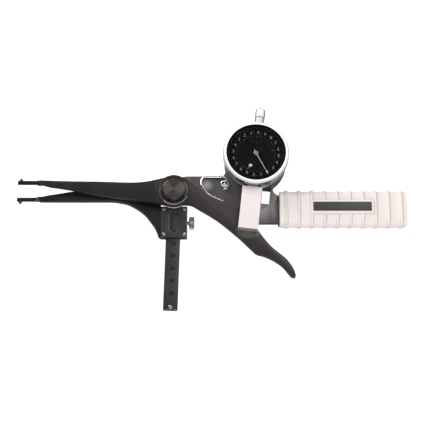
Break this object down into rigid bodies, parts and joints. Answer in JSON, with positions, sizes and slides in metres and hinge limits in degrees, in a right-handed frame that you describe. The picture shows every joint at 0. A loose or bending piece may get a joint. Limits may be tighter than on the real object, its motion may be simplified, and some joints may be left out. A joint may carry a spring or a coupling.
{
  "type": "inside dial caliper",
  "caption": "Inside dial caliper with a sprung finger lever, spreading measuring arms, a round dial gauge, a sliding lower arm on a scale bar and a ribbed grip.",
  "frame": {"origin": "on the axis of the arm pivot, at the back face of the frame that the instrument lies on", "axes": "+X from the pivot to the grip, +Y from the finger lever to the dial, +Z along the pivot axis to the reader"},
  "size_m": [0.3071, 0.1622, 0.0303],
  "materials": {
    "blackened": "satin black anodised",
    "lever_metal": "satin dark anodised",
    "knob": "fine turned, blackened",
    "bright_steel": "polished",
    "satin_steel": "satin",
    "brass": "satin",
    "guard_cream": "satin",
    "grip_plastic": "matte",
    "label": "satin",
    "dial_black": "matte",
    "hand_white": "satin",
    "crystal": "clear",
    "spring_steel": "polished"
  },
  "bodies": {
    "frame": {"body_frame": "blackened", "pivot_shaft": "satin_steel", "pivot_washer": "brass", "pivot_cap": "knob", "slide_bar": "blackened", "slide_bar_screw": "satin_steel", "slide_stop_screw": "bright_steel", "return_spring": "spring_steel", "spring_screw": "bright_steel", "grip_front_shell": "grip_plastic", "grip_rear_shell": "grip_plastic", "grip_screw_1": "satin_steel", "grip_screw_2": "satin_steel", "grip_screw_3": "satin_steel", "label_plate": "label", "spindle_guard": "guard_cream", "guard_screw_1": "satin_steel", "guard_screw_2": "satin_steel", "gauge_case": "satin_steel", "case_back": "satin_steel", "case_screw_1": "satin_steel", "case_screw_2": "satin_steel", "case_screw_3": "satin_steel", "stem": "satin_steel", "upper_stem": "satin_steel", "dust_cap": "bright_steel", "dial_plate": "dial_black", "movement_back_plate": "brass", "movement_front_plate": "brass", "plunger_spring": "spring_steel", "hairspring": "spring_steel"},
    "lever": {"lever_arm": "lever_metal", "pivot_bush": "brass", "travel_pin": "satin_steel", "contact_anvil": "bright_steel", "anvil_screw": "satin_steel", "upper_contact_tip": "knob", "upper_tip_screw": "satin_steel"},
    "spindle": {"rack_spindle": "bright_steel", "contact_point": "bright_steel", "guide_pin": "satin_steel"},
    "centre": {"centre_arbor": "bright_steel", "main_hand": "hand_white"},
    "counter": {"counter_arbor": "brass", "counter_hand": "hand_white"},
    "takeup": {"takeup_arbor": "brass"},
    "bezel": {"bezel": "bright_steel", "bezel_snap_ring": "spring_steel", "crystal": "crystal", "scale_ring": "dial_black"},
    "lower_arm": {"lower_arm": "blackened", "lower_contact_tip": "knob", "lower_tip_screw": "satin_steel", "bracket_cover": "blackened", "cover_screw_1": "bright_steel", "cover_screw_2": "bright_steel", "cover_screw_3": "bright_steel", "cover_screw_4": "bright_steel", "clamp_pad": "brass"},
    "thumb": {"thumb_screw": "bright_steel"}
  },
  "joints": [
    {"name": "lever_pivot", "type": "hinge", "parent": "frame", "child": "lever", "pos_m": [0, 0, 0.012], "axis": [0, 0, 1], "range_deg": [0, 4.7], "stiffness_Nm_per_rad": 0.8, "springref_deg": -17.19, "deforming": ["return_spring"]},
    {"name": "spindle_slide", "type": "slide", "parent": "frame", "child": "spindle", "axis": [0.1097, 0.994, 0], "range_m": [0, 0.00503], "deforming": ["plunger_spring"]},
    {"name": "centre_turn", "type": "hinge", "parent": "frame", "child": "centre", "pos_m": [0.0646, 0.027, 0.03], "axis": [0, 0, 1], "range_deg": [-1810, 0]},
    {"name": "counter_turn", "type": "hinge", "parent": "frame", "child": "counter", "pos_m": [0.06015, 0.017, 0.029], "axis": [0, 0, 1], "range_deg": [0, 181]},
    {"name": "takeup_turn", "type": "hinge", "parent": "frame", "child": "takeup", "pos_m": [0.07029, 0.03635, 0.0215], "axis": [0, 0, 1], "range_deg": [0, 181], "deforming": ["hairspring"]},
    {"name": "bezel_turn", "type": "hinge", "parent": "frame", "child": "bezel", "pos_m": [0.0646, 0.027, 0.029], "axis": [0, 0, 1], "continuous": true},
    {"name": "arm_slide", "type": "slide", "parent": "frame", "child": "lower_arm", "axis": [-0.0262, -0.9997, 0], "range_m": [0, 0.05]},
    {"name": "thumb_screw_turn", "type": "hinge", "parent": "lower_arm", "child": "thumb", "pos_m": [0.0139, -0.0238, 0.0053], "axis": [1, 0, 0], "range_deg": [0, 720]}
  ],
  "couplings": [
    {"joint": "spindle_slide", "follows": "lever_pivot", "m_per_rad": 0.061},
    {"joint": "centre_turn", "follows": "lever_pivot", "ratio": -383.17},
    {"joint": "counter_turn", "follows": "lever_pivot", "ratio": 38.317},
    {"joint": "takeup_turn", "follows": "lever_pivot", "ratio": 38.317}
  ]
}
